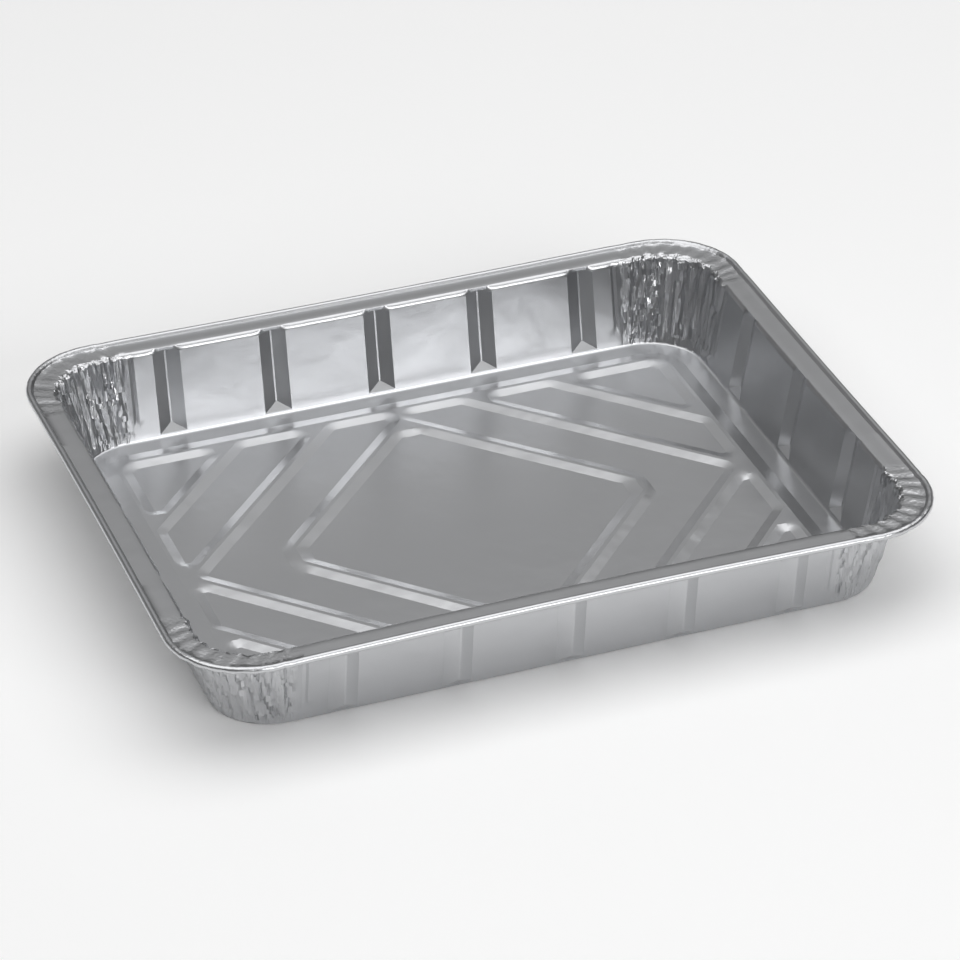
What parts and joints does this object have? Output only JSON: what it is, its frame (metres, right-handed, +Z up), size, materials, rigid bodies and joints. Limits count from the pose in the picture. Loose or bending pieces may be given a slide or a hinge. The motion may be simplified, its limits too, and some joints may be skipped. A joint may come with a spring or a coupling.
{
  "type": "aluminium foil tray",
  "caption": "Shallow rectangular catering tray pressed from foil, with a rolled rim, flat flange, grooved leaning walls, gathered corners and an embossed diamond-pattern base.",
  "frame": {"origin": "middle of the underside, on the surface that the tray rests on", "axes": "+X along the long side, +Y along the short side, +Z up out of the tray's mouth"},
  "size_m": [0.322, 0.262, 0.0414],
  "materials": {
    "aluminium_foil": "rolled foil, satin with soft crinkles"
  },
  "bodies": {
    "root": {"foil_tray": "aluminium_foil"}
  },
  "joints": []
}
